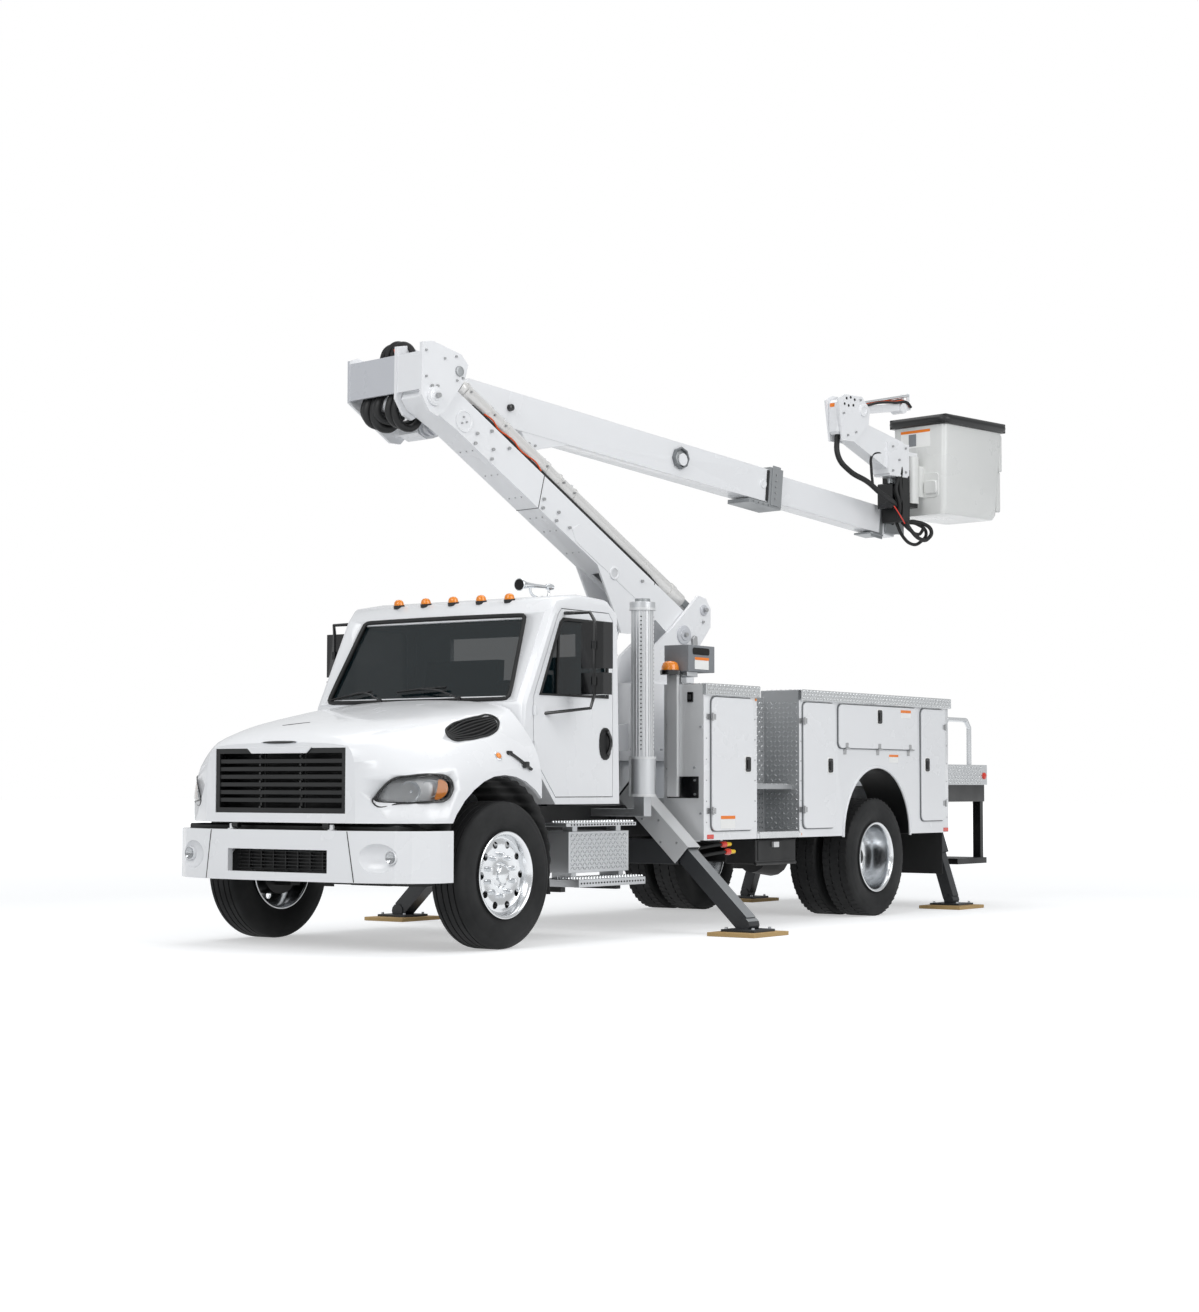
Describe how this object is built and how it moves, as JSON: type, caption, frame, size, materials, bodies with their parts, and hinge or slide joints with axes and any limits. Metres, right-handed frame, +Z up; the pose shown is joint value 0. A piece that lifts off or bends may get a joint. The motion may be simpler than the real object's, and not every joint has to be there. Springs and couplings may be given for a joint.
{
  "type": "cherry picker truck",
  "caption": "Utility truck with a hooded day cab, side lockers, splayed outriggers, and a slewing articulated boom whose telescopic upper boom carries a work bucket and a small jib",
  "frame": {"origin": "on the ground, under the middle of the truck's box, measured from the bumper's face to the stowed bucket's lip and across the outriggers", "axes": "+X to the front of the truck, +Y to its left, +Z up"},
  "size_m": [9.2844, 3.86, 4.8245],
  "materials": {
    "white_paint": "gloss",
    "black_paint": "satin",
    "charcoal_paint": "satin",
    "black_plastic": "matte",
    "dark_trim": "matte",
    "tyre_rubber": "matte",
    "polished_alloy": "polished",
    "tread_plate": "brushed",
    "bare_steel": "satin",
    "chromed_rod": "polished",
    "tinted_glass": "gloss",
    "fibreglass": "gloss"
  },
  "bodies": {
    "truck": {"chassis_frame": "black_paint", "front_axle": "black_paint", "rear_axle": "black_paint", "powertrain": "black_paint", "cab_shell": "white_paint", "windshield": "tinted_glass", "cab_interior": "dark_trim", "front_bumper": "white_paint", "step_box_left": "tread_plate", "step_box_right": "tread_plate", "locker_body_left": "white_paint", "locker_body_right": "white_paint", "body_deck": "tread_plate", "tail_shelf": "tread_plate", "exhaust_column": "tread_plate", "control_stand": "tread_plate", "outrigger_beam_front": "charcoal_paint", "outrigger_beam_rear": "charcoal_paint"},
    "hood": {"hood_shell": "white_paint", "grille": "black_plastic"},
    "steering_left": {"knuckle_left": "black_paint"},
    "steering_right": {"knuckle_right": "black_paint"},
    "front_wheel_left": {"front_tyre_left": "tyre_rubber", "front_rim_left": "polished_alloy"},
    "front_wheel_right": {"front_tyre_right": "tyre_rubber", "front_rim_right": "polished_alloy"},
    "rear_wheels_left": {"rear_tyre_outer_left": "tyre_rubber", "rear_tyre_inner_left": "tyre_rubber", "rear_rim_left": "polished_alloy"},
    "rear_wheels_right": {"rear_tyre_outer_right": "tyre_rubber", "rear_tyre_inner_right": "tyre_rubber", "rear_rim_right": "polished_alloy"},
    "door_left": {"cab_door_left": "white_paint", "door_glass_left": "tinted_glass"},
    "door_right": {"cab_door_right": "white_paint", "door_glass_right": "tinted_glass"},
    "front_cabinet_lid_left": {"front_cabinet_door_left": "white_paint"},
    "front_locker_lid_left": {"front_locker_door_left": "white_paint"},
    "drop_locker_lid_left": {"drop_locker_door_left": "white_paint"},
    "rear_locker_lid_left": {"rear_locker_door_left": "white_paint"},
    "front_cabinet_lid_right": {"front_cabinet_door_right": "white_paint"},
    "front_locker_lid_right": {"front_locker_door_right": "white_paint"},
    "drop_locker_lid_right": {"drop_locker_door_right": "white_paint"},
    "rear_locker_lid_right": {"rear_locker_door_right": "white_paint"},
    "leg_front_left": {"outrigger_leg_front_left": "charcoal_paint"},
    "leg_front_right": {"outrigger_leg_front_right": "charcoal_paint"},
    "leg_rear_left": {"outrigger_leg_rear_left": "charcoal_paint"},
    "leg_rear_right": {"outrigger_leg_rear_right": "charcoal_paint"},
    "slewing_turret": {"turret": "white_paint"},
    "boom_lower": {"lower_boom": "white_paint"},
    "link": {"levelling_link": "bare_steel"},
    "cylinder_barrel": {"lift_barrel": "white_paint"},
    "cylinder_rod": {"lift_rod": "chromed_rod"},
    "elbow": {"elbow_bracket": "white_paint"},
    "boom_upper": {"upper_boom": "white_paint"},
    "boom_fly": {"fly_boom": "white_paint"},
    "platform": {"platform_bracket": "black_paint"},
    "jib_arm": {"jib": "white_paint"},
    "work_bucket": {"bucket": "fibreglass"}
  },
  "joints": [
    {"name": "hood_tilt", "type": "hinge", "parent": "truck", "child": "hood", "pos_m": [4.58718, 0, 0.86], "axis": [0, 1, 0], "range_deg": [0, 70]},
    {"name": "steer_left", "type": "hinge", "parent": "truck", "child": "steering_left", "pos_m": [3.59218, 0.84, 0.515], "axis": [0, 0, 1], "range_deg": [-32, 32]},
    {"name": "steer_right", "type": "hinge", "parent": "truck", "child": "steering_right", "pos_m": [3.59218, -0.84, 0.515], "axis": [0, 0, 1], "range_deg": [-32, 32]},
    {"name": "spin_front_left", "type": "hinge", "parent": "steering_left", "child": "front_wheel_left", "pos_m": [3.59218, 1.06, 0.515], "axis": [0, 1, 0], "continuous": true},
    {"name": "spin_front_right", "type": "hinge", "parent": "steering_right", "child": "front_wheel_right", "pos_m": [3.59218, -1.06, 0.515], "axis": [0, 1, 0], "continuous": true},
    {"name": "spin_rear_left", "type": "hinge", "parent": "truck", "child": "rear_wheels_left", "pos_m": [-1.70782, 1.055, 0.515], "axis": [0, 1, 0], "continuous": true},
    {"name": "spin_rear_right", "type": "hinge", "parent": "truck", "child": "rear_wheels_right", "pos_m": [-1.70782, -1.055, 0.515], "axis": [0, 1, 0], "continuous": true},
    {"name": "cab_door_swing_left", "type": "hinge", "parent": "truck", "child": "door_left", "pos_m": [3.02918, 1.0119, 1.56], "axis": [0, 0, -1], "range_deg": [0, 65]},
    {"name": "cab_door_swing_right", "type": "hinge", "parent": "truck", "child": "door_right", "pos_m": [3.02918, -1.0119, 1.56], "axis": [0, 0, 1], "range_deg": [0, 65]},
    {"name": "front_cabinet_swing_left", "type": "hinge", "parent": "truck", "child": "front_cabinet_lid_left", "pos_m": [0.99218, 1.22, 1.31], "axis": [0, 0, -1], "range_deg": [0, 95]},
    {"name": "front_locker_swing_left", "type": "hinge", "parent": "truck", "child": "front_locker_lid_left", "pos_m": [-0.41782, 1.22, 1.31], "axis": [0, 0, -1], "range_deg": [0, 95]},
    {"name": "drop_locker_swing_left", "type": "hinge", "parent": "truck", "child": "drop_locker_lid_left", "pos_m": [-1.71782, 1.22, 1.46], "axis": [-1, 0, 0], "range_deg": [0, 90]},
    {"name": "rear_locker_swing_left", "type": "hinge", "parent": "truck", "child": "rear_locker_lid_left", "pos_m": [-2.96782, 1.22, 1.33], "axis": [0, 0, 1], "range_deg": [0, 95]},
    {"name": "front_cabinet_swing_right", "type": "hinge", "parent": "truck", "child": "front_cabinet_lid_right", "pos_m": [0.99218, -1.22, 1.31], "axis": [0, 0, 1], "range_deg": [0, 95]},
    {"name": "front_locker_swing_right", "type": "hinge", "parent": "truck", "child": "front_locker_lid_right", "pos_m": [-0.41782, -1.22, 1.31], "axis": [0, 0, 1], "range_deg": [0, 95]},
    {"name": "drop_locker_swing_right", "type": "hinge", "parent": "truck", "child": "drop_locker_lid_right", "pos_m": [-1.71782, -1.22, 1.46], "axis": [1, 0, 0], "range_deg": [0, 90]},
    {"name": "rear_locker_swing_right", "type": "hinge", "parent": "truck", "child": "rear_locker_lid_right", "pos_m": [-2.96782, -1.22, 1.33], "axis": [0, 0, -1], "range_deg": [0, 95]},
    {"name": "leg_front_left_retract", "type": "slide", "parent": "truck", "child": "leg_front_left", "axis": [0, -0.7266, 0.6871], "range_m": [0, 0.32]},
    {"name": "leg_front_right_retract", "type": "slide", "parent": "truck", "child": "leg_front_right", "axis": [0, 0.7266, 0.6871], "range_m": [0, 0.32]},
    {"name": "leg_rear_left_retract", "type": "slide", "parent": "truck", "child": "leg_rear_left", "axis": [0, -0.3032, 0.9529], "range_m": [0, 0.32]},
    {"name": "leg_rear_right_retract", "type": "slide", "parent": "truck", "child": "leg_rear_right", "axis": [0, 0.3032, 0.9529], "range_m": [0, 0.32]},
    {"name": "turret_slew", "type": "hinge", "parent": "truck", "child": "slewing_turret", "pos_m": [0.44218, 0, 1.34], "axis": [0, 0, 1], "continuous": true},
    {"name": "lower_boom_lift", "type": "hinge", "parent": "slewing_turret", "child": "boom_lower", "pos_m": [0.13452, 0.23097, 2.4], "axis": [-0.1564, -0.9877, 0], "range_deg": [-15, 40]},
    {"name": "elbow_level", "type": "hinge", "parent": "boom_lower", "child": "elbow", "pos_m": [2.88023, -0.20391, 4.08359], "axis": [-0.1564, -0.9877, 0], "range_deg": [-40, 15]},
    {"name": "link_tilt", "type": "hinge", "parent": "slewing_turret", "child": "link", "pos_m": [-0.1124, 0.27008, 2.62], "axis": [-0.1564, -0.9877, 0], "range_deg": [-15, 40]},
    {"name": "cylinder_tilt", "type": "hinge", "parent": "slewing_turret", "child": "cylinder_barrel", "pos_m": [1.0827, 0.08079, 1.5], "axis": [-0.1564, -0.9877, 0], "range_deg": [-2, 2]},
    {"name": "cylinder_stroke", "type": "slide", "parent": "cylinder_barrel", "child": "cylinder_rod", "axis": [-0.3123, 0.0495, 0.9487], "range_m": [-0.16, 0.43]},
    {"name": "upper_boom_lift", "type": "hinge", "parent": "elbow", "child": "boom_upper", "pos_m": [2.44958, -0.62168, 3.93359], "axis": [0.1564, 0.9877, 0], "range_deg": [-4, 65]},
    {"name": "fly_boom_stroke", "type": "slide", "parent": "boom_upper", "child": "boom_fly", "axis": [-0.9826, 0.1556, -0.1011], "range_m": [-1, 1.2]},
    {"name": "platform_level", "type": "hinge", "parent": "boom_fly", "child": "platform", "pos_m": [-3.44185, 0.31143, 3.6795], "axis": [0.1564, 0.9877, 0], "range_deg": [-65, 4]},
    {"name": "bucket_swivel", "type": "hinge", "parent": "platform", "child": "work_bucket", "pos_m": [-3.50332, 0.59453, 4.0795], "axis": [0, 0, -1], "range_deg": [0, 90]},
    {"name": "jib_lift", "type": "hinge", "parent": "platform", "child": "jib_arm", "pos_m": [-2.67444, 0.45819, 4.6545], "axis": [0.1564, 0.9877, 0], "range_deg": [0, 80]}
  ],
  "couplings": [
    {"joint": "steer_right", "follows": "steer_left", "ratio": 1},
    {"joint": "elbow_level", "follows": "lower_boom_lift", "ratio": -1},
    {"joint": "link_tilt", "follows": "lower_boom_lift", "ratio": 1},
    {"joint": "cylinder_tilt", "follows": "lower_boom_lift", "ratio": 0.02},
    {"joint": "cylinder_stroke", "follows": "lower_boom_lift", "m_per_rad": 0.61},
    {"joint": "platform_level", "follows": "upper_boom_lift", "ratio": -1}
  ]
}
